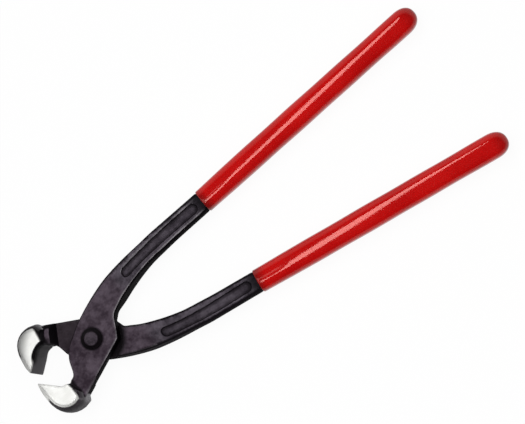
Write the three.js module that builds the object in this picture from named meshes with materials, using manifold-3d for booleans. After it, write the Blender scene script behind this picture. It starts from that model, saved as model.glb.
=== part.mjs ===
// Concreters' nippers: two forged halves that cross in a riveted lap joint, with dipped grips.
// Millimetres, +Z up along the rivet, +X along the tool towards the jaws.
// Both halves are the same forging: the upper one is the lower one turned over about X.
// Places are given for the lower half of the closed tool, with the pivot at 0, 0 and the lap at Z 0.
import * as THREE from 'three';
import { mergeVertices } from 'three/addons/utils/BufferGeometryUtils.js';
import Module from 'manifold-3d';

// Whole tool, from the pivot
const edgeReach = 33.1; // to the cutting edges
const handleReach = 217; // to the ends of the grips
const restOpening = 9.2; // degrees between the halves as the tool lies

// Clearances
const fitGap = 0.3; // between pieces that touch
const biteGap = 0.3; // left between the cutting edges of the closed tool

// Lap joint and rivet
const jointThickness = 12;
const rivetDiameter = 7;
const rivetHeadOverhang = 1.75; // of the head beyond the shank, all round
const rivetHeadHeight = 1.8;
const rivetConeWidth = 1.95; // of the cone round the flat of the head
const rivetRim = 0.45; // straight rim of the head
const shoulderGap = 1.7; // between the boss heel of one half and the round shoulder of the other
const lapCornerGap = 0.6; // between that shoulder and the corner of the lap beside it
const lapCornerDrop = 1.2; // that corner lies this far past the tool axis
const shoulderSlope = 0.6; // how far the round shoulder leans back over half the joint's thickness

// Jaw, with setbacks measured from the cutting edge and drops from the tool axis
const jawWidth = 22;
const noseLead = 2.5; // the foremost face stands this far in front of the cutting edge
const noseDrop = 9; // where the back of the jaw turns
const backSetback = 8.6; // foot of the jaw's back
const backDrop = 21.6;
const backFullness = 0.61; // pull of the back's curve towards its corner
const heelRun = 4.2; // from the foot of the back to the heel
const heelRise = 0.8;
const crownRise = 3.1; // the back stands this much higher along its middle than at the jaw's sides
const crownFlat = 2.2; // flat along the middle of the back
const outerBevel = 22.5; // degrees, slope of the outer bevel at the cutting edge
const innerBevel = 46; // degrees, slope of the inner bevel
const innerBevelLength = 6.6;
const mouthFloorSetback = 11.5;
const mouthFloorDrop = 9.5;
const mouthCornerRun = 4; // from the floor of the mouth back to where the boss begins
const mouthCornerRise = 2.6;

// Boss and arm, seen along the rivet
const armAngle = 21.2; // degrees the jaw arm leans away from the tool axis
const armEdge = 11.1; // pivot to the straight outer edge of the arm
const armEndWidth = 2; // the arm ends this wide inside the jaw
const bossHeelReach = 9.8; // where the arm's edge turns up towards the crotch
const bossRun = 2.6; // from the mouth's corner back to the front of the boss
const bossFrontDrop = 0.3;
const bossFlank = new THREE.Vector2(4.8, 8.3);
const notch = new THREE.Vector2(-3, 12.3); // outer edge, where the halves cross
const bodyCorner = 1; // rounding of the edges of boss and arm
const landCorner = 5.4; // rounding of the arm's outer edge beside the step up to the jaw

// Step up from the joint to the jaw, measured along the arm
const wallGap = 3.2; // from the front of the boss to the foot of the leaning wall
const wallLean = 2.3; // how far the wall leans back over half the joint's thickness
const landWidth = 1.1;
const flareRun = 2.4;
const flareSink = 0.8; // the flare starts this far below the face of the arm

// Lever and tang
const leverRoot = new THREE.Vector2(-20, 11.1); // middle of the lever where it leaves the joint
const leverRootWidth = 13.9;
const leverBend = new THREE.Vector2(-30, 13.75);
const leverBendWidth = 12.1;
const leverKnee = new THREE.Vector2(-45, 15.85);
const leverKneeWidth = 10.6;
const neckOffset = 17; // middle of the lever from the tool axis where the grip begins
const tipOffset = 20.2; // and at the end of the grip
const leverWidth = 9.7;
const leverThickness = 7.8;
const leverCorner = 1.4;
const leverDraft = 2.2; // the lever's edges are rounded this many times deeper than wide
const tangWidth = 9.2; // under the coat
const tangCorner = 2.9;
const crotchOffset = 0.3; // from the tool axis to the bottom of the crotch

// Dipped grip
const dipLine = 82; // pivot to where the coat begins
const coat = 1.2;
const lipShare = 0.7; // share of the coat's thickness that it has at the dip line
const lipRun = 18; // it has its full thickness this far along
const tipCover = 3; // coat over the end of the tang
const tipRound = 7.6; // length of the rounded end
const taperLead = 20; // the lever is down to its full slimness this far before the dip line

// Sunk panel on both faces of the lever
const panelNear = 30.3;
const panelEndGap = 3.4; // from the far end of the panel to the dip line
const panelWidth = 4.7;
const panelDepth = 0.8;
const panelShift = 1.3; // the near end lies this far to the outer side of the lever's middle

// Fineness of the facets
const arcSteps = 3; // in a quarter turn of an edge
const curveSteps = 8; // along a curve
const roundSegments = 40; // in a full turn
const tipAngle = Math.PI / 24; // first section of a rounded end, as an angle of its ellipse
const mergeDistance = 1e-4;
const fullestCorner = 0.98; // share of a section's half width that a corner may take
const crownSpread = 1.18; // the crown's ellipse is this much wider than the jaw

const wasm = await Module();
wasm.setup();

const degrees = THREE.MathUtils.degToRad;
const arm = degrees(armAngle);
const halfJoint = jointThickness / 2;
const halfJaw = jawWidth / 2;
const noseReach = edgeReach + noseLead;
const past = jawWidth + noseReach; // cutters reach this far, clear of the tool

const steel = new THREE.MeshStandardMaterial({ color: 0x2b272b, roughness: 0.5, metalness: 0.8 });
const rivetSteel = new THREE.MeshStandardMaterial({ color: 0x2f2b2f, roughness: 0.45, metalness: 0.85 });
const redDip = new THREE.MeshStandardMaterial({ color: 0xb81f1a, roughness: 0.3, metalness: 0 });

// A closed geometry as a solid that can be joined and cut
function solid(geometry) {
  geometry.deleteAttribute('normal');
  geometry.deleteAttribute('uv');
  const merged = mergeVertices(geometry, mergeDistance);
  const vertProperties = new Float32Array(merged.attributes.position.array);
  const triVerts = new Uint32Array(merged.index.array);
  return new wasm.Manifold(new wasm.Mesh({ numProp: 3, vertProperties, triVerts }));
}

// A finished solid as a named mesh
function piece(name, body, material) {
  const { vertProperties, triVerts } = body.getMesh();
  const geometry = new THREE.BufferGeometry();
  geometry.setAttribute('position', new THREE.BufferAttribute(vertProperties, 3));
  geometry.setIndex(new THREE.BufferAttribute(triVerts, 1));
  geometry.computeVertexNormals();
  const mesh = new THREE.Mesh(geometry, material);
  mesh.name = name;
  return mesh;
}

// A closed skin through rings of points that follow each other along +X
function loft(rings) {
  const count = rings[0].length;
  const last = (rings.length - 1) * count;
  const index = [];
  for (let start = 0; start < last; start += count) {
    for (let i = 0; i < count; i += 1) {
      const a = start + i;
      const b = start + ((i + 1) % count);
      index.push(a, b, b + count, a, b + count, a + count);
    }
  }
  for (let i = 1; i + 1 < count; i += 1) {
    index.push(0, i + 1, i, last, last + i, last + i + 1);
  }
  const geometry = new THREE.BufferGeometry().setFromPoints(rings.flat());
  geometry.setIndex(index);
  return solid(geometry);
}

// A rounded rectangle standing upright at x, between the edges low and high.
// Its corners may be deeper than wide, and the one at the top of the low edge may have a width of its own.
function section(x, low, high, halfThickness, corner, depth = 1, topCorner = corner) {
  const middle = (low + high) / 2;
  const across = (high - low) / 2;
  const ring = [];
  for (let turn = 0; turn < 4; turn += 1) {
    const side = turn === 0 || turn === 3 ? 1 : -1;
    const top = turn < 2 ? 1 : -1;
    const width = Math.min(turn === 1 ? topCorner : corner, across * fullestCorner);
    const height = Math.min(width * depth, halfThickness * fullestCorner);
    for (let i = 0; i <= arcSteps; i += 1) {
      const angle = (turn + i / arcSteps) * Math.PI / 2;
      const y = middle + side * (across - width) + width * Math.cos(angle);
      const z = top * (halfThickness - height) + height * Math.sin(angle);
      ring.push(new THREE.Vector3(x, y, z));
    }
  }
  return ring;
}

// A smooth curve through points in the order of x, as a function of x
function curveThrough(points) {
  const xs = points.map((point) => point.x);
  const ys = points.map((point) => point.y);
  const curve = new THREE.CubicInterpolant(xs, ys, 1);
  return (x) => curve.evaluate(x)[0];
}

// Stations between two places, the first place included and the last left out
function stations(from, to, steps) {
  return Array.from({ length: steps }, (_, i) => THREE.MathUtils.lerp(from, to, i / steps));
}

// A flat shape drawn in the plane of the arm's length and Z, carried right across the arm
function acrossArm(shape) {
  const geometry = new THREE.ExtrudeGeometry(shape, {
    depth: 2 * past,
    bevelEnabled: false,
    curveSegments: curveSteps,
  });
  geometry.translate(0, 0, -past);
  geometry.rotateX(Math.PI / 2);
  geometry.rotateZ(-arm);
  return solid(geometry);
}

// Straight outer edge of the arm: its distance from the pivot and its lean give y for each x
function armLine(x) {
  return -(armEdge + x * Math.sin(arm)) / Math.cos(arm);
}

const bossHeel = new THREE.Vector2(-bossHeelReach, armLine(-bossHeelReach));
const shoulderRadius = bossHeel.length() + shoulderGap;
const mouthFloor = new THREE.Vector2(edgeReach - mouthFloorSetback, -mouthFloorDrop);
const mouthCorner = new THREE.Vector2(mouthFloor.x - mouthCornerRun, mouthFloor.y + mouthCornerRise);
const bossFront = new THREE.Vector2(mouthCorner.x - bossRun, -bossFrontDrop);
const wallFoot = bossFront.length() + wallGap;
const back = new THREE.Vector2(edgeReach - backSetback, -backDrop);
const heel = new THREE.Vector2(back.x - heelRun, back.y + heelRise);
const armEnd = new THREE.Vector2(back.x, (mouthFloor.y + back.y) / 2);
const crotch = new THREE.Vector2(-shoulderRadius, crotchOffset);
const lapReach = Math.sqrt((shoulderRadius - lapCornerGap) ** 2 - lapCornerDrop ** 2);
const lapCorner = new THREE.Vector2(-lapReach, -lapCornerDrop);
const neck = new THREE.Vector2(-dipLine, neckOffset);
const tip = new THREE.Vector2(-handleReach, tipOffset);
const roundStart = -(handleReach - tipRound);
const lipCoat = coat * lipShare;
const lipRound = lipCoat * lipShare;

// Edges of the body from the tip of the tang to the arm, the outer one and then the inner one
const edge = (point, width) => new THREE.Vector2(point.x, point.y + width / 2);
const leverEdge = (sign) => [
  edge(tip, sign * leverWidth),
  edge(neck, sign * leverWidth),
  edge(leverKnee, sign * leverKneeWidth),
  edge(leverBend, sign * leverBendWidth),
  edge(leverRoot, sign * leverRootWidth),
];
const outerEdge = curveThrough([
  ...leverEdge(1), notch, bossFlank, bossFront, mouthCorner, mouthFloor, armEnd,
]);
const crotchEdge = curveThrough([...leverEdge(-1), crotch, lapCorner, bossHeel]);
const leverMiddle = curveThrough([tip, neck, leverKnee, leverBend, leverRoot]);

// Inner edge: round the crotch to the boss heel, straight along the arm, then in under the jaw's heel
function innerEdge(x) {
  if (x < bossHeel.x) return crotchEdge(x);
  const share = Math.max(0, (x - heel.x) / heelRun);
  return THREE.MathUtils.lerp(armLine(x), armEnd.y - armEndWidth, share * share);
}

// How far the body has changed from the slim lever, 0, to the joint, 1
function jointShare(x) {
  return THREE.MathUtils.smoothstep(x, taperLead - dipLine, leverRoot.x);
}

function halfThickness(x) {
  return THREE.MathUtils.lerp(leverThickness, jointThickness, jointShare(x)) / 2;
}

function bodySection(x) {
  const share = jointShare(x);
  const corner = THREE.MathUtils.lerp(leverCorner, bodyCorner, share);
  const depth = THREE.MathUtils.lerp(leverDraft, 1, share);
  const topCorner = x > 0 ? landCorner : corner;
  return section(x, innerEdge(x), outerEdge(x), halfThickness(x), corner, depth, topCorner);
}

// An upright section of the tang, or of a coat that stands off it by grow, drawn in by lift at the tip
function tangSection(x, grow, lift = 1) {
  const middle = leverMiddle(x);
  const across = (tangWidth / 2 + grow) * lift;
  const up = (leverThickness / 2 + grow) * lift;
  return section(x, middle - across, middle + across, up, (tangCorner + grow) * lift);
}

// Sections of a rounded tip: a quarter of an ellipse, length long, from its small end to its full width
function tipSections(length, grow) {
  return stations(tipAngle, Math.PI / 2, curveSteps).map((angle) => {
    return tangSection(roundStart - length * Math.cos(angle), grow, Math.sin(angle));
  });
}

// Tang, lever, boss and arm in one skin, with the tang's edges rounded more under its coat
function bodySkin() {
  const tang = [...stations(roundStart, -dipLine, curveSteps), -dipLine].map((x) => tangSection(x, 0));
  const rest = [
    ...stations(lipRound - dipLine, leverKnee.x, curveSteps),
    ...stations(leverKnee.x, leverRoot.x, curveSteps),
    ...stations(leverRoot.x, crotch.x, curveSteps),
    ...stations(crotch.x, lapCorner.x, arcSteps),
    ...stations(lapCorner.x, bossHeel.x, curveSteps),
    ...stations(bossHeel.x, bossFront.x, 2 * curveSteps),
    ...stations(bossFront.x, heel.x, curveSteps),
    ...stations(heel.x, armEnd.x, arcSteps),
    armEnd.x,
  ].map(bodySection);
  return loft([...tipSections(tipRound - tipCover, 0), ...tang, ...rest]);
}

// Plan of the jaw's mouth: the two bevels that meet at the cutting edge, then the floor of the mouth
function jawMouth() {
  const bite = new THREE.Vector2(edgeReach, -biteGap / 2);
  const slope = new THREE.Vector2(-Math.cos(degrees(innerBevel)), -Math.sin(degrees(innerBevel)));
  const bevelEnd = bite.clone().addScaledVector(slope, innerBevelLength);
  const pull = bevelEnd.distanceTo(mouthFloor) / 2;
  const turn = bevelEnd.clone().addScaledVector(slope, pull);
  const shape = new THREE.Shape();
  shape.moveTo(bite.x, bite.y);
  shape.lineTo(bevelEnd.x, bevelEnd.y);
  shape.bezierCurveTo(turn.x, turn.y, mouthFloor.x + pull, mouthFloor.y, mouthFloor.x, mouthFloor.y);
  shape.lineTo(mouthCorner.x, armEnd.y);
  shape.lineTo(mouthCorner.x, -past);
  shape.lineTo(edgeReach + past * Math.tan(degrees(outerBevel)), -past);
  const geometry = new THREE.ExtrudeGeometry(shape, {
    depth: 2 * jawWidth,
    bevelEnabled: false,
    curveSegments: curveSteps,
  });
  geometry.translate(0, 0, -jawWidth);
  return solid(geometry);
}

// Nose, back and heel of the jaw, crowned from side to side like a barrel
function jawBack() {
  const turn = THREE.MathUtils.lerp(-noseDrop, back.y, backFullness);
  const sweep = THREE.MathUtils.lerp(back.x, noseReach, backFullness);
  const shape = new THREE.Shape();
  shape.moveTo(noseReach, noseDrop);
  shape.lineTo(noseReach, -noseDrop);
  shape.bezierCurveTo(noseReach, turn, sweep, back.y, back.x, back.y);
  shape.lineTo(heel.x, heel.y);
  shape.lineTo(mouthCorner.x, armEnd.y);
  shape.lineTo(mouthCorner.x, noseDrop);
  const bulge = crownRise / (1 - Math.sqrt(1 - 1 / crownSpread ** 2));
  const geometry = new THREE.ExtrudeGeometry(shape, {
    depth: crownFlat,
    bevelSize: bulge,
    bevelThickness: halfJaw * crownSpread - crownFlat / 2,
    bevelOffset: -bulge,
    bevelSegments: curveSteps,
    curveSegments: curveSteps,
  });
  geometry.translate(0, 0, -crownFlat / 2);
  return solid(geometry);
}

// Side view of the step up to the jaw, the same above and below
function jawFlare() {
  const start = wallFoot + wallLean + landWidth;
  const end = start + flareRun;
  const seat = halfJoint - flareSink;
  const shape = new THREE.Shape();
  shape.moveTo(bossFront.x, -seat);
  shape.lineTo(start, -seat);
  shape.quadraticCurveTo(end, -seat, end, -halfJaw);
  shape.lineTo(past, -halfJaw);
  shape.lineTo(past, halfJaw);
  shape.lineTo(end, halfJaw);
  shape.quadraticCurveTo(end, seat, start, seat);
  shape.lineTo(bossFront.x, seat);
  return acrossArm(shape);
}

// Room for the other half: a round pocket behind the pivot, open to the leaning wall under the jaw
function lapPocket() {
  const floor = -fitGap / 2;
  const height = jointThickness;
  const rise = shoulderSlope / halfJoint;
  const round = new THREE.LatheGeometry([
    new THREE.Vector2(0, floor),
    new THREE.Vector2(shoulderRadius, floor),
    new THREE.Vector2(shoulderRadius + rise * height, floor + height),
    new THREE.Vector2(0, floor + height),
  ], 2 * roundSegments);
  round.rotateX(Math.PI / 2);
  const shape = new THREE.Shape();
  shape.moveTo(0, floor);
  shape.lineTo(wallFoot, floor);
  shape.lineTo(wallFoot + wallLean * height / halfJoint, floor + height);
  shape.lineTo(0, floor + height);
  return solid(round).add(acrossArm(shape));
}

function rivetHole() {
  const radius = rivetDiameter / 2 + fitGap;
  const hole = new THREE.CylinderGeometry(radius, radius, 2 * jointThickness, roundSegments);
  hole.rotateX(Math.PI / 2);
  return solid(hole);
}

// Shallow panel with round ends, sunk to the same depth below a face that tapers
function panelCutter() {
  const round = panelWidth / 2;
  const near = -panelNear;
  const far = panelEndGap - dipLine;
  const ends = stations(tipAngle, Math.PI / 2, curveSteps);
  const along = [
    ...ends.map((angle) => far + round * (1 - Math.cos(angle))),
    ...stations(far + round, near - round, curveSteps),
    ...ends.map((angle) => near - round * (1 - Math.sin(angle - tipAngle))),
  ];
  return loft(along.map((x) => {
    const inset = Math.max(far + round - x, x - near + round, 0);
    const across = Math.sqrt(round * round - inset * inset);
    const shift = THREE.MathUtils.mapLinear(x, far, near, 0, panelShift);
    const middle = leverMiddle(x) + shift;
    const floor = halfThickness(x) - panelDepth;
    const lid = halfThickness(x) + panelDepth;
    return [
      new THREE.Vector3(x, middle + across, floor),
      new THREE.Vector3(x, middle + across, lid),
      new THREE.Vector3(x, middle - across, lid),
      new THREE.Vector3(x, middle - across, floor),
    ];
  }));
}

// One forged half: skin and jaw joined, then the pocket, the rivet's hole and both panels cut
function forgedHalf() {
  const jaw = jawMouth().intersect(jawBack()).intersect(jawFlare());
  const panel = panelCutter();
  const cuts = [lapPocket(), rivetHole(), panel, panel.mirror([0, 0, 1])];
  return cuts.reduce((body, cut) => body.subtract(cut), bodySkin().add(jaw));
}

// Dipped coat: a skin that follows the tang, round at the tip and open at the dip line
function dippedGrip() {
  const lipEnd = -dipLine - lipRun;
  const lipStart = -dipLine - lipRound;
  const coatSection = (x) => {
    const share = THREE.MathUtils.smoothstep(x, lipEnd, lipStart);
    return tangSection(x, fitGap + THREE.MathUtils.lerp(coat, lipCoat, share));
  };
  const lipSection = (angle) => {
    const drawnIn = lipRound * (1 - Math.cos(angle));
    return tangSection(lipStart + lipRound * Math.sin(angle), fitGap + lipCoat - drawnIn);
  };
  const outer = [
    ...tipSections(tipRound, fitGap + coat),
    ...stations(roundStart, lipEnd, curveSteps).map(coatSection),
    ...stations(lipEnd, lipStart, curveSteps).map(coatSection),
    ...stations(0, Math.PI / 2, arcSteps).map(lipSection),
    lipSection(Math.PI / 2),
  ];
  const bore = [
    ...tipSections(tipRound - tipCover + fitGap, fitGap),
    ...stations(roundStart, coat - dipLine, curveSteps).map((x) => tangSection(x, fitGap)),
    tangSection(coat - dipLine, fitGap),
  ];
  return loft(outer).subtract(loft(bore));
}

// Rivet with a coned head and a flat at each end
function rivet() {
  const seat = halfJoint + fitGap;
  const end = seat + rivetHeadHeight;
  const shank = rivetDiameter / 2;
  const rim = shank + rivetHeadOverhang;
  const profile = [
    new THREE.Vector2(0, -end),
    new THREE.Vector2(rim - rivetConeWidth, -end),
    new THREE.Vector2(rim, -seat - rivetRim),
    new THREE.Vector2(rim, -seat),
    new THREE.Vector2(shank, -seat),
  ];
  const upper = profile.map((point) => new THREE.Vector2(point.x, -point.y)).reverse();
  const geometry = new THREE.LatheGeometry([...profile, ...upper], roundSegments);
  geometry.rotateX(Math.PI / 2);
  return solid(geometry);
}

const half = forgedHalf();
const grip = dippedGrip();

const lowerHalf = new THREE.Group();
lowerHalf.add(piece('lower_lever', half, steel));
lowerHalf.add(piece('lower_grip', grip, redDip));
lowerHalf.add(piece('pivot_rivet', rivet(), rivetSteel));
lowerHalf.rotation.z = -degrees(restOpening) / 2;

const turnedHalf = new THREE.Group();
turnedHalf.add(piece('upper_lever', half, steel));
turnedHalf.add(piece('upper_grip', grip, redDip));
turnedHalf.rotation.x = Math.PI;

const upperHalf = new THREE.Group();
upperHalf.add(turnedHalf);
upperHalf.rotation.z = degrees(restOpening) / 2;

// The origin is on the pivot axis, at the flat of the rivet's lower head
const nippers = new THREE.Group();
nippers.add(lowerHalf, upperHalf);
nippers.position.z = halfJoint + fitGap + rivetHeadHeight;

export default nippers;
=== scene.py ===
"""Looks of the concreters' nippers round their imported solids: metres, +X to the jaws, +Z up the rivet."""
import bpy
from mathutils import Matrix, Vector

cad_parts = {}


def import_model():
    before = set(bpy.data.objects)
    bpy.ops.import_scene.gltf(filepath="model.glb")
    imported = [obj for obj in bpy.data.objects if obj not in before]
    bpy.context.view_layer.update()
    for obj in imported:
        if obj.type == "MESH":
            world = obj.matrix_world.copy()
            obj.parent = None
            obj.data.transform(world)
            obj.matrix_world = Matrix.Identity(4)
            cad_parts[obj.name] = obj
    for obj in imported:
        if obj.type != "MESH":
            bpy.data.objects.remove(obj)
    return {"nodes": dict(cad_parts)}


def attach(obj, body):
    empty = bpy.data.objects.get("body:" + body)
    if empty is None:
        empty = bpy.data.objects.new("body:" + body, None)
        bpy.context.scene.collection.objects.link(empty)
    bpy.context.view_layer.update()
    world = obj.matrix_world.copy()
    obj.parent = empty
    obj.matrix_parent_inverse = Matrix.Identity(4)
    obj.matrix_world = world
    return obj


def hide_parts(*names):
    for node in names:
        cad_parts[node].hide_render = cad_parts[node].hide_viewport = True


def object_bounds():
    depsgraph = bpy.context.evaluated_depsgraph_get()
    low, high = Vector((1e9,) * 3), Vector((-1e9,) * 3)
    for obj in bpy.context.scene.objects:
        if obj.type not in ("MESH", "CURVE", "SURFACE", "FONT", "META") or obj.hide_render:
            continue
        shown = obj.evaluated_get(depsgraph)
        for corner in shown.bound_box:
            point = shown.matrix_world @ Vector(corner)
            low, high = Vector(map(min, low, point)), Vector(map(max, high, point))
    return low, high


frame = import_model()

from types import SimpleNamespace
import bpy
import numpy as np
from mathutils import Matrix

cad_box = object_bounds()
MM = 0.001                          # shapes and finishes are worked out in millimetres and made in metres
LAP = 8.1                           # height of the lap between the two halves, in millimetres
REST = np.radians(4.6)              # each half is turned this far from the closed tool
LOWER, UPPER = 1, -1                # sides of the halves: the upper one is the same forging turned over
MARKS = ("ridge", "valley", "sunk", "rim")
IMAGE = np.array([525, 424])        # width and height of the picture in pixels
WHITE = (1, 1, 1, 1)


# Shader wiring

class Wire:
    """One socket in a node tree. Arithmetic on wires adds Math nodes."""

    def __init__(self, tree, socket):
        self.tree, self.socket = tree, socket

    def node(self, kind, settings=None, sockets=None, out=0):
        """Adds a node of a kind: its settings first, then the values or links of its sockets."""
        made = self.tree.nodes.new("ShaderNode" + kind)
        for key, value in (settings or {}).items():
            setattr(made, key, value)
        for key, value in (sockets or {}).items():
            if isinstance(value, Wire):
                self.tree.links.new(value.socket, made.inputs[key])
            else:
                made.inputs[key].default_value = value
        return Wire(self.tree, made.outputs[out])

    def math(self, operation, *values):
        """A Math node on these values."""
        return self.node("Math", {"operation": operation}, dict(enumerate(values)))

    def __add__(self, other):
        return self.math("ADD", self, other)

    def __radd__(self, other):
        return self.math("ADD", other, self)

    def __sub__(self, other):
        return self.math("SUBTRACT", self, other)

    def __rsub__(self, other):
        return self.math("SUBTRACT", other, self)

    def __mul__(self, other):
        return self.math("MULTIPLY", self, other)

    def __rmul__(self, other):
        return self.math("MULTIPLY", other, self)

    def __abs__(self):
        return self.math("ABSOLUTE", self)

    def most(self, other):
        """The greater of this wire and another."""
        return self.math("MAXIMUM", self, other)

    def reach(self, other):
        """Distance from the origin in the plane of this wire and another."""
        return self.math("SQRT", self * self + other * other)

    def step(self, low, high):
        """0 below low, 1 above high, smooth between; high may be the lower one."""
        settings = {"interpolation_type": "SMOOTHSTEP"}
        return self.node("MapRange", settings, {"Value": self, "From Min": low, "From Max": high})

    def mix(self, a, b):
        """Colour a where this wire is 0 and colour b where it is 1. A Mix node's colours go by number."""
        return self.node("Mix", {"data_type": "RGBA"}, {0: self, 6: a, 7: b}, 2)

    def noise(self, place, scale, detail=4.0, roughness=0.55):
        """Noise from 0 to 1 with about this many spots to a metre."""
        sockets = {"Vector": place, "Scale": scale, "Detail": detail, "Roughness": roughness}
        return self.node("TexNoise", None, sockets)

    def axes(self):
        """The three parts of a vector."""
        made = self.node("SeparateXYZ", None, {0: self}).socket.node
        return [Wire(self.tree, socket) for socket in made.outputs]

    def stretched(self, x, y, z):
        """A vector with each part scaled by its own factor."""
        return self.node("Mapping", None, {"Vector": self, "Scale": (x, y, z)})

    def millimetres(self):
        """The three parts of a place, in millimetres."""
        return self.stretched(1 / MM, 1 / MM, 1 / MM).axes()


def finish_tree(name):
    """A new material, its shader, a starting wire and its object coordinates."""
    material = bpy.data.materials.new(name)
    material.use_nodes = True
    tree = material.node_tree
    shader = next(n for n in tree.nodes if n.type == "BSDF_PRINCIPLED")
    start = Wire(tree, None)
    place = start.node("TexCoord", out="Object")
    return material, shader, start, place


def plug(shader, **sockets):
    """Sets the shader's sockets by name, with a link for a wire and a plain value otherwise."""
    for name, value in sockets.items():
        socket = shader.inputs[name.replace("_", " ")]
        if isinstance(value, Wire):
            value.tree.links.new(value.socket, socket)
        else:
            socket.default_value = value


# Finishes: single colours, and pairs of a dark and a pale one

# soot black, with painted shade for the walls
SOOT_AND_SHADE = (0.0030, 0.0022, 0.0032, 1)
BOSS_PLUM = (0.027, 0.018, 0.026, 1), (0.092, 0.071, 0.091, 1)
LEVER_SLATE = (0.030, 0.0245, 0.032, 1), (0.105, 0.090, 0.110, 1)
# painted shade on the lap faces
LAP_SHADE = (0.013, 0.0100, 0.0108, 1)
PANEL_DARK = (0.014, 0.0098, 0.0145, 1)
# painted shadow round the rivet's head
SEAT_SHADOW = (0.004, 0.003, 0.004, 1)
# painted shade by the pocket's shoulder
SHOULDER_SHADE = (0.0035, 0.0028, 0.0035, 1)
COLLAR_BLACK = (0.0045, 0.0035, 0.0045, 1)
# painted shade in the panel corners
CORNER_SHADE = (0.006, 0.0045, 0.006, 1)
# painted shade along the lever's outlines
OUTLINE_SHADE = (0.0065, 0.0050, 0.0068, 1)
BITE_BLACK = (0.004, 0.0032, 0.004, 1)
# edges worn pale, part wear and part painted highlight
WORN_HIGHLIGHT_GREY = (0.25, 0.235, 0.25, 1)
HEEL_GREY = (0.36, 0.35, 0.365, 1)
MOUTH_GREY = (0.145, 0.138, 0.147, 1)
POLISHED = (0.73, 0.73, 0.70, 1), (0.89, 0.89, 0.87, 1)
# painted reflection on the ground jaw's rounded rim
RIM_REFLECTION_GREY = (0.27, 0.27, 0.265, 1)
RIVET_BLACK = (0.0030, 0.0020, 0.0028, 1)
RIVET_WORN = (0.019, 0.0135, 0.019, 1), (0.060, 0.046, 0.060, 1)
DIP_RED = (0.455, 0.0036, 0.0036, 1), (0.55, 0.0056, 0.0052, 1)
DIP_DARK = (0.10, 0.006, 0.006, 1)
DIP_GLOSS = (1, 0.53, 0.48, 1)
FLOOR_PALE = (0.95, 0.95, 0.95, 1)


def place_on_half(w, place, side):
    """Where a shaded point lies on its half, in millimetres in the closed half's own plan: along it to the
    jaws, across it to the lever's side, out from the rivet, height from the lap, and pocketward to the half's
    pocket. level, mouthward and forward say how much it faces up or down, across and along."""
    x, y, z = place.millimetres()
    c, s = float(np.cos(REST)), float(np.sin(REST))
    facing_x, facing_y, facing_z = w.node("TexCoord", out="Normal").axes()
    return SimpleNamespace(
        along=x * c - y * (s * side),
        across=y * (c * side) + x * s,
        out=x.reach(y),
        height=abs(z - LAP),
        pocketward=(z - LAP) * side,
        level=abs(facing_z),
        mouthward=facing_y * (c * side) + facing_x * s,
        forward=facing_x * c - facing_y * (s * side))


def forging_texture(w, place):
    """Noises of the forged skin, from wide patches to grain, and the grinding's ragged border and lines."""
    patches = w.noise(place, 110, 3, 0.6)
    blotches = w.noise(place, 330, 4, 0.6)
    pits = w.noise(place, 900, 5, 0.62)
    return SimpleNamespace(
        patches=patches,
        blotches=blotches,
        pits=pits,
        mottle=(patches * 0.5 + blotches * 0.35 + pits * 0.15).step(0.36, 0.64),
        grain=w.noise(place, 2600, 3, 0.6),
        ragged=(w.noise(place, 1400, 3) - 0.5) * 0.35,
        lines=w.noise(place.stretched(1, 14, 1), 260, 4, 0.6))


def black_scale(w, at, skin, side):
    """Colour of the blackened forging, and how much its faces are worn: mottled scale on the flats, soot and
    painted shade on the walls, painted shadow on the rivet's seat, painted shade on the lap, by the shoulder,
    in the panel corners and along the outlines, a dark collar, then the edges worn pale, part wear and part
    painted highlight."""
    ridge, valley, sunk, rim = [w.node("Attribute", {"attribute_name": mark}, out="Fac") for mark in MARKS]
    flare = at.level.step(0.25, 0.55) * at.along.step(9, 11) * at.pocketward.step(-3, -6)
    flat = at.level.step(0.72, 0.985).most(flare * 0.8)
    boss = at.along.step(-30, -22)
    behind_rivet = at.along.step(2, -4)
    dipped_end = at.along.step(-74, -81.5)
    lap_face = at.height.step(1.4, 0.5)
    seat = at.out.step(6.3, 5.2)
    # painted shade by the pocket's shoulder, and on the lap faces behind the rivet
    shoulder = at.out.step(18.6, 14.4) * at.pocketward.step(3, 5) * behind_rivet
    shoulder = shoulder.most(lap_face * behind_rivet * 0.85)
    collar = at.along.step(18.8, 20) * (1 - at.level.step(0.6, 0.3))
    # painted shade along the lever's outer edges, away from the panels
    outline_shade = rim.step(0.1, 0.6) * at.along.step(-6, -14)

    worn = boss.mix(skin.mottle.mix(*LEVER_SLATE), skin.mottle.mix(*BOSS_PLUM))
    # painted shade: the lap faces, lying low beside the other half, are darkened
    worn = (lap_face * 0.7).mix(worn, LAP_SHADE)
    # soot and painted shade: faces that are not level are darkened to soot black, and so are the flats
    # towards the dipped end
    black = (flat * (1 - dipped_end * 0.9)).mix(SOOT_AND_SHADE, worn)
    black = (sunk * 0.3).mix(black, PANEL_DARK)
    # painted shadow round the rivet's head, on its seat
    black = (seat * 0.8).mix(black, SEAT_SHADOW)
    black = shoulder.mix(black, SHOULDER_SHADE)
    black = (collar * 0.85).mix(black, COLLAR_BLACK)
    # painted shade in the panels' inner corners
    black = (valley * 0.75).mix(black, CORNER_SHADE)
    black = (outline_shade * 0.9).mix(black, OUTLINE_SHADE)

    # painted highlight as well as wear: pale weighs the pale edges, less on the boss, and on the upper half
    # less where an edge faces mouthward from the boss onwards
    pale = 0.75 - boss * 0.6
    if side == UPPER:
        pale = 1.25 - at.along.step(-42, -30) * at.mouthward.step(-0.3, 0.3) * 1.1 - boss * 0.25
    wear_and_highlight = ridge * (0.25 + skin.mottle * 0.75) * flat.step(0.1, 0.5) * pale
    wear_and_highlight = wear_and_highlight * (1 - shoulder) * (1 - dipped_end) * (1 - at.along.step(0, 8) * 0.6)
    return wear_and_highlight.mix(black, WORN_HIGHLIGHT_GREY), flat


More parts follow.
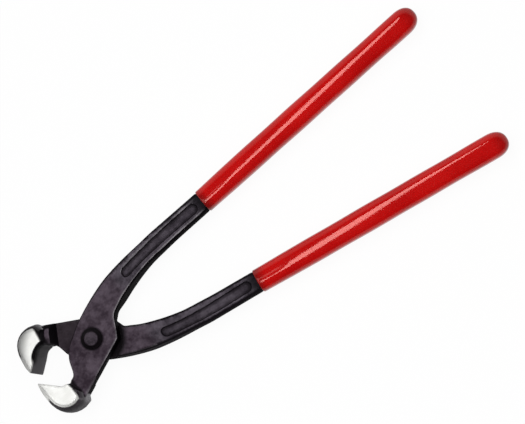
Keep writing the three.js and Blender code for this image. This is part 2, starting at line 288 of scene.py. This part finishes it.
def jaw_heel(at, skin):
    """How much of the jaw's outer face is scuffed grey, in blotches: most by the arm and at mid height."""
    heel = (1 - at.along.step(19.5, 23) * 0.65) * (0.33 + at.height.step(8.5, 2.5) * 0.67)
    heel = heel * at.along.step(17.5, 18.5) * at.across.step(-7.5, -11.5) * at.level.step(0.6, 0.3)
    heel = heel * at.forward.step(-0.3, 0.1).most(at.mouthward.step(-0.25, -0.55))
    return heel * (0.5 + skin.blotches * 0.7)


def ground_jaw(at, skin):
    """Where the jaw is ground bright, on its sides and nose, where a round patch of it beside the ground side
    is coloured black, and where its hollow mouth is scraped grey."""
    ground_side = (at.height + skin.ragged).step(9.7, 10.6) * (at.along + skin.ragged).step(20.9, 22.1)
    nose = (at.along + skin.ragged * 4).step(30.6, 32.6) * (at.across + skin.ragged * 4).step(-11, -8.5)
    bite = (at.along - 20.05).reach(at.across + 0.7).step(10.9, 10.5) * at.pocketward.step(2.5, 9.5)
    bite = bite * at.along.step(17.5, 18.5) * at.along.step(31, 28.5)
    bright = ground_side.most(nose * at.mouthward.step(0.45, 0.15)) * (1 - bite)
    mouth = at.mouthward.step(0.25, 0.6) * (at.along + skin.ragged * 2).step(13, 33) * (1 - bright)
    return bright, bite, mouth


def forged_steel(name, side):
    """Blackened forging with ground jaws, for one half."""
    material, shader, w, place = finish_tree(name)
    at = place_on_half(w, place, side)
    skin = forging_texture(w, place)
    black, flat = black_scale(w, at, skin, side)
    bright, bite, mouth = ground_jaw(at, skin)
    black = jaw_heel(at, skin).mix(black, HEEL_GREY)
    black = mouth.mix(black, MOUTH_GREY)
    black = bite.mix(black, BITE_BLACK)

    # painted reflection: the ground jaw's rounded outer rim is greyed as a darker surround would show in it,
    # less so on the upper half
    rounding = (at.along - 15).reach(at.across + 3).step(14.2, 20.2)
    if side == UPPER:
        rounding = rounding * at.across.step(-11, -4) * 0.55
    polished = (skin.patches * 0.6 + skin.lines * 0.4).step(0.3, 0.7).mix(*POLISHED)
    colour = bright.mix(black, rounding.mix(polished, RIM_REFLECTION_GREY))

    rough_black = 0.74 - flat * 0.26 + (skin.patches - 0.5) * 0.2 + (skin.pits - 0.5) * 0.16 - mouth * 0.1
    rough_ground = 0.38 + skin.lines * 0.12
    relief = (skin.pits * 0.6 + skin.grain * 0.4) * (1 - bright) + skin.lines * bright * 0.3
    bump = w.node("Bump", None, {"Strength": 0.25, "Distance": 0.12 * MM, "Height": relief})
    plug(shader, Base_Color=colour, Metallic=bright * 0.6, Normal=bump, Specular_IOR_Level=0.025,
         Roughness=rough_black * (1 - bright) + rough_ground * bright)
    return material


def rivet_steel():
    """Blackened rivet: a black cone round a worn flat with faint turned rings."""
    material, shader, w, place = finish_tree("rivet_black")
    x, y = place.millimetres()[:2]
    out = x.reach(y)
    pits = w.noise(place, 1100, 5, 0.6)
    patches = w.noise(place, 300, 3)
    rings = w.math("SINE", out * 9 + patches * 4)
    disc = out.step(3.65, 2.95)
    worn = (pits * 0.5 + patches * 0.5).step(0.35, 0.65).mix(*RIVET_WORN)
    bump = w.node("Bump", None, {"Strength": 0.2, "Distance": 0.1 * MM, "Height": pits + rings * 0.08})
    plug(shader, Base_Color=disc.mix(RIVET_BLACK, worn), Normal=bump, Specular_IOR_Level=0.08,
         Roughness=0.62 - disc * 0.2 + (pits - 0.5) * 0.2)
    return material


def red_dip():
    """Glossy dipped plastic: a deep red with faint clouding, soft orange-peel and a few scuffs, darker at the
    tip and where the coat runs out at the dip line and the steel shows through."""
    material, shader, w, place = finish_tree("red_dip")
    x, y = place.millimetres()[:2]
    out = x.reach(y)
    cloud = w.noise(place, 60, 3)
    peel = w.noise(place.stretched(0.5, 1, 1), 420, 2, 0.4)
    specks = w.noise(place, 2400, 3, 0.7)
    scuff = w.noise(place.stretched(0.3, 1, 1), 700, 5, 0.7).step(0.62, 0.74)
    body = (cloud * 0.8 + specks * 0.2).step(0.3, 0.7).mix(*DIP_RED)
    thin = (out + (cloud - 0.5) * 3).step(89, 83.6)
    tip = out.step(208, 219)
    bump = w.node("Bump", None, {"Strength": 0.008, "Distance": 0.3 * MM, "Height": peel})
    plug(shader, Base_Color=(thin * 0.75).most(tip * 0.55).mix(body, DIP_DARK), Normal=bump,
         Roughness=0.07 + scuff * 0.02 + (cloud - 0.5) * 0.02, Specular_Tint=DIP_GLOSS)
    return material


# Pieces

def scene_object(name, data):
    """A new object of the scene with this mesh, camera or lamp."""
    made = bpy.data.objects.new(name, data)
    bpy.context.scene.collection.objects.link(made)
    return made


def point_values(mesh, name):
    """The place, "co", or the "normal" of each point of a mesh, as rows of an array."""
    flat = np.empty(3 * len(mesh.vertices), np.float32)
    mesh.vertices.foreach_get(name, flat)
    return flat.reshape(-1, 3).astype(float)


def turned(points, angle):
    """Points turned about the pivot's axis."""
    c, s = np.cos(angle), np.sin(angle)
    return points @ np.array([[c, s, 0], [-s, c, 0], [0, 0, 1]])


def to_plan(points, side):
    """Points or directions of a half in the closed half's own plan, with the upper half turned over."""
    return turned(points, side * REST) * np.array([1, side, 1])


def from_plan(plan, side):
    """Points of a half's plan, in millimetres, back in the tool's frame, in metres."""
    return turned(plan * np.array([1, side, 1]), -side * REST) * MM


def smooth(share):
    """A smooth step from 0 to 1: three squares less two cubes of the share."""
    share = np.clip(share, 0, 1)
    return share * share * (3 - 2 * share)


def grid_mesh(name, points, ends):
    """A closed tube from points[i, j, xyz]: rings i along the piece, j round it, and a fan over each end
    that ends[0] and ends[1] close at a point."""
    rings, count = points.shape[:2]
    i, j = np.meshgrid(np.arange(rings - 1), np.arange(count), indexing="ij")
    k = (j + 1) % count
    quads = np.stack([i * count + j, i * count + k, (i + 1) * count + k, (i + 1) * count + j], -1)
    a = np.arange(count)
    b = (a + 1) % count
    first, last = rings * count, rings * count + 1
    fans = [np.stack([b, a, np.full(count, first)], 1),
            np.stack([a, b, np.full(count, last)], 1) + np.array([1, 1, 0]) * (rings - 1) * count]
    verts = np.concatenate([points.reshape(-1, 3), ends])
    mesh = bpy.data.meshes.new(name)
    mesh.from_pydata(verts.tolist(), [], quads.reshape(-1, 4).tolist() + np.concatenate(fans).tolist())
    mesh.shade_smooth()
    return scene_object(name, mesh)


def dipped_grip(name, node, side):
    """A dipped coat: a superellipse carried along the tang's own middle line. Its half width and half
    height swell by a smooth step from the thin lip to the full coat, and close at the tip by another
    superellipse. Two slow waves make the width a little uneven."""
    blunt, soft = 8.2, 0.55                   # lengths of the rounded tip and of the lip's rounding
    swell, thinner = 18, 0.36                 # length of the swelling, and how much thinner the lip is
    wider = 0.7                               # how far the half width is over the half height
    tip_power, section_power = 2.3, 2.6
    tip_rings, body_rings, lip_rings, sides = 26, 120, 7, 64
    solid = to_plan(point_values(frame["nodes"][node].data, "co") / MM, side)
    middle = np.polyfit(solid[:, 0], solid[:, 1], 3)
    tip, lip = solid[:, 0].min(), solid[:, 0].max()
    height = (solid[:, 2].max() - solid[:, 2].min()) / 2
    width = height + wider
    tip_turn, lip_turn = [np.linspace(0, np.pi / 2, rings)[1:] for rings in (tip_rings, lip_rings)]
    along = np.concatenate([tip + blunt * (1 - np.cos(tip_turn)),
                            np.linspace(tip + blunt, lip - soft, body_rings)[1:],
                            lip - soft + soft * np.sin(lip_turn)])
    cap = (1 - np.clip((tip + blunt - along) / blunt, 0, 1) ** tip_power) ** (1 / tip_power)
    edge = np.clip((along - (lip - soft)) / soft, 0, 1)
    coat = -thinner * smooth((along - (lip - swell)) / swell) - soft * (1 - np.sqrt(1 - edge ** 2))
    sway = 0.05 * np.sin(0.21 * along) + 0.04 * np.sin(0.083 * along + 1)
    around = np.linspace(0, 2 * np.pi, sides, endpoint=False)
    waves = np.cos(around), np.sin(around)
    y, z = [np.sign(wave) * np.abs(wave) ** (2 / section_power) for wave in waves]
    points = np.empty((len(along), len(around), 3))
    points[..., 0] = along[:, None]
    points[..., 1] = np.polyval(middle, along)[:, None] + ((width + coat + sway) * cap)[:, None] * y
    points[..., 2] = LAP + ((height + coat) * cap)[:, None] * z
    ends = np.array([[end, np.polyval(middle, end), LAP] for end in (tip, lip)])
    if side == UPPER:
        points = points[:, ::-1]              # turned over, its rings have to run the other way round
    return grid_mesh(name, from_plan(points, side), from_plan(ends, side))


def rivet_head():
    """A lathe: the radius and height of a headed rivet's profile, with rounded rims, carried round the
    pivot."""
    shank, head, flat = 3.5, 5.2, 3.32        # radii
    seat, rim_foot, top = 6.32, 6.57, 8.1     # heights from the lap
    rim_round, crown_round, crown_drop = 0.3, 0.35, 0.2
    dish_outside, dish_inside, dish_depth = 2.9, 0.15, 0.10
    corner_rings, dish_rings, sides = 7, 8, 72
    turn = np.linspace(0, np.pi / 2, corner_rings)
    rim = np.stack([head - rim_round * (1 - np.cos(turn)), rim_foot + rim_round * np.sin(turn)], 1)
    crown = np.stack([flat - crown_round * (1 - np.cos(turn)), top - crown_drop * (1 - np.sin(turn))], 1)
    share = np.linspace(0, 1, dish_rings)
    dish = np.stack([dish_outside + (dish_inside - dish_outside) * share, top - dish_depth * share ** 0.5], 1)
    upper = np.concatenate([[[shank, 0], [shank, seat], [head, seat]], rim, crown, dish])
    profile = np.concatenate([upper[::-1] * [1, -1], upper])
    around = np.linspace(0, 2 * np.pi, sides, endpoint=False)
    points = np.empty((len(profile), len(around), 3))
    points[..., 0] = profile[:, :1] * np.cos(around)
    points[..., 1] = profile[:, :1] * np.sin(around)
    points[..., 2] = LAP + profile[:, 1:]
    ends = np.array([[0, 0, LAP + height] for height in profile[[0, -1], 1]])
    return grid_mesh("rivet", points[:, ::-1] * MM, ends * MM)


def lever_share(plan, level):
    """How far points of a half's plan lie from the lever's middle line, in half widths of the lever. The line
    and the half width are polynomials along the lever, fitted to its points and to those of its walls."""
    far, near, wall_level = -84, -28, 0.3
    along = plan[:, 0]
    lever = (along > far) & (along < near)
    off = plan[:, 1] - np.polyval(np.polyfit(along[lever], plan[lever, 1], 4), along)
    wall = lever & (level < wall_level)
    return off / np.polyval(np.polyfit(along[wall], np.abs(off[wall]), 2), along)


def eased_shoulder(plan):
    """How far points move across to round off the end of the upper half's inner wall beside the lap: away
    from the crotch by ease times three smooth steps, which reach 1 at the shoulder's end, at the wall and
    deep under the lap."""
    ease, end, past = 1.9, -14.4, 0.6         # the most, the shoulder's end, and how far past it points move
    run, breadth, depth = 10, 6, 7            # lengths of the three steps
    wall_foot, wall_slope = 0.6, 0.54
    along, across, height = plan.T
    wall = wall_foot + wall_slope * (end - along)
    move = ease * smooth((along - (end - run)) / run) * smooth(1 - (across - wall) / breadth)
    return np.where(along < end + past, move * smooth((LAP - height) / depth), 0)


def fuller_lever(along, share):
    """How far points move across to make a lever fuller towards its coat: out from its middle line, more
    the farther they lie from it, between two smooth steps along the lever."""
    fullness, start, rise, finish, fall = 0.4, -43, 12, -94, 10
    lengthwise = smooth((start - along) / rise) * smooth((along - finish) / fall)
    return fullness * np.sign(share) * smooth(np.abs(share)) * lengthwise


def panel_slide(along, share):
    """How far points of the upper half move to the crotch, so that its panels lie in the middle of their
    lever: less at the far end than at the near one, and nothing at the lever's edges and before the boss."""
    least, most, far, length = 0.3, 1.2, -75, 37
    boss, rise = -22, 9
    inner, inner_rise, outer, outer_rise = -0.97, 0.72, 0.96, 0.30
    slide = np.clip(least + (most - least) * (along - far) / length, 0, most)
    slide = slide * smooth((share - inner) / inner_rise) * smooth((outer - share) / outer_rise)
    return slide * smooth((boss - along) / rise)


def spread(mark, both, reach, loss):
    """A mark carried to each point's neighbours, edge by edge, losing the same amount at every edge."""
    for _ in range(reach):
        grown = mark.copy()
        np.maximum.at(grown, both[:, 0], mark[both[:, 1]] - loss)
        mark = grown
    return mark


def skin_bend(plan, facing, both):
    """How sharply the skin bends outward at each point, to a millimetre: the mean over its edges of twice
    the drop below its tangent plane divided by the edge's length squared, evened out twice over its
    neighbours."""
    count = len(plan)
    edge = plan[both[:, 1]] - plan[both[:, 0]]
    drop = -(edge * facing[both[:, 0]]).sum(1)
    edges = np.bincount(both[:, 0], minlength=count)
    bend = np.bincount(both[:, 0], 2 * drop / (edge * edge).sum(1), count) / edges
    for _ in range(2):
        bend = (bend + np.bincount(both[:, 0], bend[both[:, 1]], count) / edges) / 2
    return bend


def mark_forging(mesh, side):
    """The four MARKS on each point of a forging, from 0 to 1. ridge and valley are how sharply the skin bends
    outward and inward. sunk is how far a level face lies below the highest one at its place along the lever.
    rim fades out over four edges from the walls away from the panels. valley counts near a panel only, and so
    does ridge on the lever. The upper half's inner edge counts as ridge too, in place of rim, and so does a
    bead outside its panel.
    ridge is drawn as edges worn pale, part wear and part painted highlight; valley and rim as painted shade
    in the panel corners and along the outlines."""
    face_level, wall_level, bead_level = 0.97, 0.7, 0.9
    panel_far, panel_near, lever_near = -80, -28, -26
    bead_share, bead_breadth, bead_near, bead_rise, bead_most = 0.59, 0.07, -32, 4, 0.6
    sunk_from, sunk_range = 0.175, 0.7        # depths
    valley_from, valley_range, ridge_from, ridge_range, lever_gain = 0.05, 0.2, 0.08, 0.32, 5
    slots_from, slots = -100, 151             # slots along the half, one to a millimetre
    plan = to_plan(point_values(mesh, "co") / MM, side)
    facing = to_plan(point_values(mesh, "normal"), side)
    along, height, level = plan[:, 0], np.abs(plan[:, 2] - LAP), np.abs(facing[:, 2])
    pairs = np.empty(2 * len(mesh.edges), np.int32)
    mesh.edges.foreach_get("vertices", pairs)
    pairs = pairs.reshape(-1, 2)
    both = np.concatenate([pairs, pairs[:, ::-1]])
    bend = skin_bend(plan, facing, both)

    slot = np.clip((along - slots_from).astype(int), 0, slots - 1)
    highest = np.zeros(slots)
    np.maximum.at(highest, slot, np.where(level > face_level, height, 0))
    panel = (along > panel_far) & (along < panel_near) & (level > face_level)
    sunk = np.where(panel, np.clip((highest[slot] - height - sunk_from) / sunk_range, 0, 1), 0)
    beside = spread(sunk, both, 5, 0)
    rim = spread(((beside == 0) & (level < wall_level)).astype(float), both, 4, 0.2)
    lever = along < lever_near
    valley = np.clip((-bend - valley_from) / valley_range, 0, 1)
    valley = spread(np.where(lever, valley * beside, 0), both, 1, 0.3)
    wear_and_highlight = spread(sunk, both, 4, 0.2)
    bead = 0
    if side == UPPER:
        # the upper half's inner edge is drawn pale too, part wear and part painted highlight
        inner = np.clip((-0.1 - facing[:, 1]) / 0.2, 0, 1) * (beside == 0)
        wear_and_highlight = np.maximum(wear_and_highlight, inner)
        rim = rim * (1 - spread(inner, both, 3, 0.1))
        # the bead is a pale line outside the panel, part wear and part painted highlight
        bead = np.clip(1.5 - np.abs(lever_share(plan, level) - bead_share) / bead_breadth, 0, 1)
        bead = bead * (level > bead_level) * np.clip((bead_near - along) / bead_rise, 0, bead_most)
    ridge = np.clip((bend - ridge_from) / ridge_range, 0, 1)
    ridge = np.maximum(np.where(lever, np.clip(lever_gain * ridge, 0, 1) * wear_and_highlight, ridge), bead)
    for name, values in zip(MARKS, (ridge, valley, sunk, rim)):
        mesh.attributes.new(name, "FLOAT", "POINT").data.foreach_set("value", values.astype(np.float32))


def even_skin(name, node):
    """A mesh of a node's own shape on an even grid, smoothed so that its edges are drawn soft."""
    work = scene_object(name + "_work", frame["nodes"][node].data.copy())
    weld = work.modifiers.new("weld", "WELD")
    weld.merge_threshold = 0.002 * MM
    grid = work.modifiers.new("grid", "REMESH")
    grid.mode, grid.voxel_size = "VOXEL", 0.40 * MM
    even = work.modifiers.new("even", "SMOOTH")
    even.factor, even.iterations = 0.5, 5
    seen = work.evaluated_get(bpy.context.evaluated_depsgraph_get())
    skin = bpy.data.meshes.new_from_object(seen)
    bpy.data.objects.remove(work)
    skin.name = name
    skin.materials.clear()
    skin.shade_smooth()
    return skin


def forged_half(name, node, side):
    """The forging's skin: the solid's own shape drawn soft, with the lever fuller, and on the upper half with
    an eased shoulder and with its panels slid to the lever's middle."""
    skin = even_skin(name, node)
    plan = to_plan(point_values(skin, "co") / MM, side)
    if side == UPPER:
        plan[:, 1] += eased_shoulder(plan)
    along, share = plan[:, 0], lever_share(plan, np.abs(point_values(skin, "normal")[:, 2]))
    plan[:, 1] += fuller_lever(along, share)
    if side == UPPER:
        plan[:, 1] -= panel_slide(along, share)
    skin.vertices.foreach_set("co", from_plan(plan, side).astype(np.float32).ravel())
    skin.update()
    mark_forging(skin, side)
    return scene_object(name, skin)


def dress(piece, material, body, node):
    """Gives a piece its finish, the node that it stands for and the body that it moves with."""
    piece.data.materials.clear()
    piece.data.materials.append(material)
    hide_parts(node)
    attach(piece, body)


dip = red_dip()
dress(forged_half("lower_forging", "lower_lever", LOWER), forged_steel("black_steel_lower", LOWER),
      "lower_half", "lower_lever")
dress(forged_half("upper_forging", "upper_lever", UPPER), forged_steel("black_steel_upper", UPPER),
      "upper_half", "upper_lever")
dress(rivet_head(), rivet_steel(), "lower_half", "pivot_rivet")
dress(dipped_grip("lower_dip", "lower_grip", LOWER), dip, "lower_half", "lower_grip")
dress(dipped_grip("upper_dip", "upper_grip", UPPER), dip, "upper_half", "upper_grip")


# Stage, in metres

def photo_camera():
    """The camera of the photograph, which looks at the picture's middle in the lap plane. Gives back the turn
    from the picture's right, up and to the viewer into the tool's frame, and the place of the picture's
    middle."""
    distance = 1.0
    lean = np.array([0.179, -0.1174])         # how far it stands to the right and up, to a metre of distance
    scale = 2105.8                            # pixels to one metre, at a metre from the camera
    pivot_pixel = np.array([95.13, 339.6])    # where the pivot shows
    jaw_way = np.radians(215.53)              # the tool's +X in the picture, turned from the right
    back = np.array([*lean, np.sqrt(1 - lean @ lean)])
    # The smallest turn that takes straight up into the line from the picture's middle to the camera
    turn = np.cross([0, 0, 1], back)
    cross = np.array([[0, -turn[2], turn[1]], [turn[2], 0, -turn[0]], [-turn[1], turn[0], 0]])
    view = np.eye(3) + cross + cross @ cross / (1 + back[2])
    right, down = (pivot_pixel - IMAGE / 2) / scale
    ray = view @ np.array([right, -down, -1])
    place = back * distance
    pivot = place - ray * place[2] / ray[2]
    c, s = np.cos(jaw_way), np.sin(jaw_way)
    tool = np.array([[c, s, 0], [-s, c, 0], [0, 0, 1]])
    lap = np.array([0, 0, LAP * MM])
    matrix = np.eye(4)
    matrix[:3, :3] = tool @ view
    matrix[:3, 3] = tool @ (place - pivot) + lap
    data = bpy.data.cameras.new("camera")
    data.sensor_fit, data.sensor_width = "HORIZONTAL", 36
    data.lens = scale / IMAGE[0] * data.sensor_width
    data.clip_start, data.clip_end = 0.01, 20
    camera = scene_object("camera", data)
    camera.matrix_world = Matrix(matrix)
    bpy.context.scene.camera = camera
    return tool, tool @ -pivot + lap


def seen_by(w, *kinds):
    """1 for rays of these kinds and 0 for others."""
    rays = w.node("LightPath").socket.node.outputs
    seen = Wire(w.tree, rays[f"Is {kinds[0]} Ray"])
    for kind in kinds[1:]:
        seen = seen.most(Wire(w.tree, rays[f"Is {kind} Ray"]))
    return seen


def floor():
    """A wide pale floor under the jaws, lifted to white where it is looked at, with the shadow kept."""
    half, gap, lift = 3.0, 0.05 * MM, 0.94
    low = cad_box[0][2] - gap
    corners = [(-half, -half, low), (half, -half, low), (half, half, low), (-half, half, low)]
    mesh = bpy.data.meshes.new("floor")
    mesh.from_pydata(corners, [], [(0, 1, 2, 3)])
    made = scene_object("floor", mesh)
    material, shader, w, _ = finish_tree("floor_white")
    plug(shader, Base_Color=FLOOR_PALE, Roughness=0.9, Specular_IOR_Level=0.0)
    glow = w.node("Emission", None, {"Color": WHITE, "Strength": 1.0})
    looked = seen_by(w, "Camera", "Glossy", "Transmission")
    both = w.node("MixShader", None, {0: looked * lift, 1: Wire(w.tree, shader.outputs[0]), 2: glow})
    output = next(n for n in w.tree.nodes if n.type == "OUTPUT_MATERIAL")
    w.tree.links.new(both.socket, output.inputs[0])
    mesh.materials.append(material)


def lamp(name, stand, place, aim, long, size, power, mirrored):
    """A soft rectangular lamp at a place of the picture (right, up, to the viewer, from the picture's middle
    in the lap plane) that faces the place aim, with its long side along long. A lamp that is not mirrored
    lights matt surfaces only."""
    tool, middle = stand
    data = bpy.data.lights.new(name, "AREA")
    data.shape, data.energy = "RECTANGLE", power
    data.size, data.size_y = size
    made = scene_object(name, data)
    made.visible_glossy = mirrored
    back = np.subtract(place, aim) / np.linalg.norm(np.subtract(place, aim))
    side = np.asarray(long, float) - back * np.dot(long, back)
    side /= np.linalg.norm(side)
    matrix = np.eye(4)
    matrix[:3, :3] = tool @ np.stack([side, np.cross(back, side), back], 1)
    matrix[:3, 3] = tool @ np.asarray(place, float) + middle
    made.matrix_world = Matrix(matrix)


def world(tool):
    """Studio surround: pale walls, higher to the picture's upper left, under a dark ceiling. The eye sees
    white instead everywhere, and a gloss sees white near the floor and higher up to the upper left."""
    wall_glow, corner_loss, ceiling_glow = 0.6, 0.2, 0.02
    made = bpy.data.worlds.new("studio")
    made.use_nodes = True
    tree = made.node_tree
    background = next(n for n in tree.nodes if n.type == "BACKGROUND")
    w = Wire(tree, None)
    upper_left = tool @ np.array([-0.59, 0.81, 0])
    way = w.node("TexCoord", out="Generated")
    leftward = w.node("VectorMath", {"operation": "DOT_PRODUCT"}, {0: way, 1: tuple(upper_left)}, "Value")
    up = way.axes()[2]
    wall = (up - leftward * 0.35).step(0.65, 0.1)
    glow = wall * (wall_glow - leftward.step(0.1, 0.8) * corner_loss) + ceiling_glow
    looked = seen_by(w, "Camera", "Glossy", "Transmission")
    white = seen_by(w, "Camera").most(looked * (up - leftward * 0.6).step(0.55, 0.05))
    strength = glow * (1 - white) + white
    tree.links.new(strength.socket, background.inputs["Strength"])
    background.inputs["Color"].default_value = WHITE
    bpy.context.scene.world = made


stand = photo_camera()
floor()
lamp("strip", stand, place=(-0.10, 0.12, 0.905), aim=(0, 0, 0), long=(-0.165, 0.986, 0),
     size=(0.72, 0.085), power=1.95, mirrored=True)
lamp("head_panel", stand, place=(-0.38, -0.13, 0.9), aim=(-0.10, -0.06, 0), long=(0, 1, 0),
     size=(0.38, 0.40), power=1.0, mirrored=True)
lamp("fill", stand, place=(0.12, -0.08, 1.1), aim=(0, 0, 0), long=(1, 0, 0),
     size=(1.3, 1.3), power=10.5, mirrored=False)
world(stand[0])
bpy.context.scene.view_settings.view_transform = "Standard"
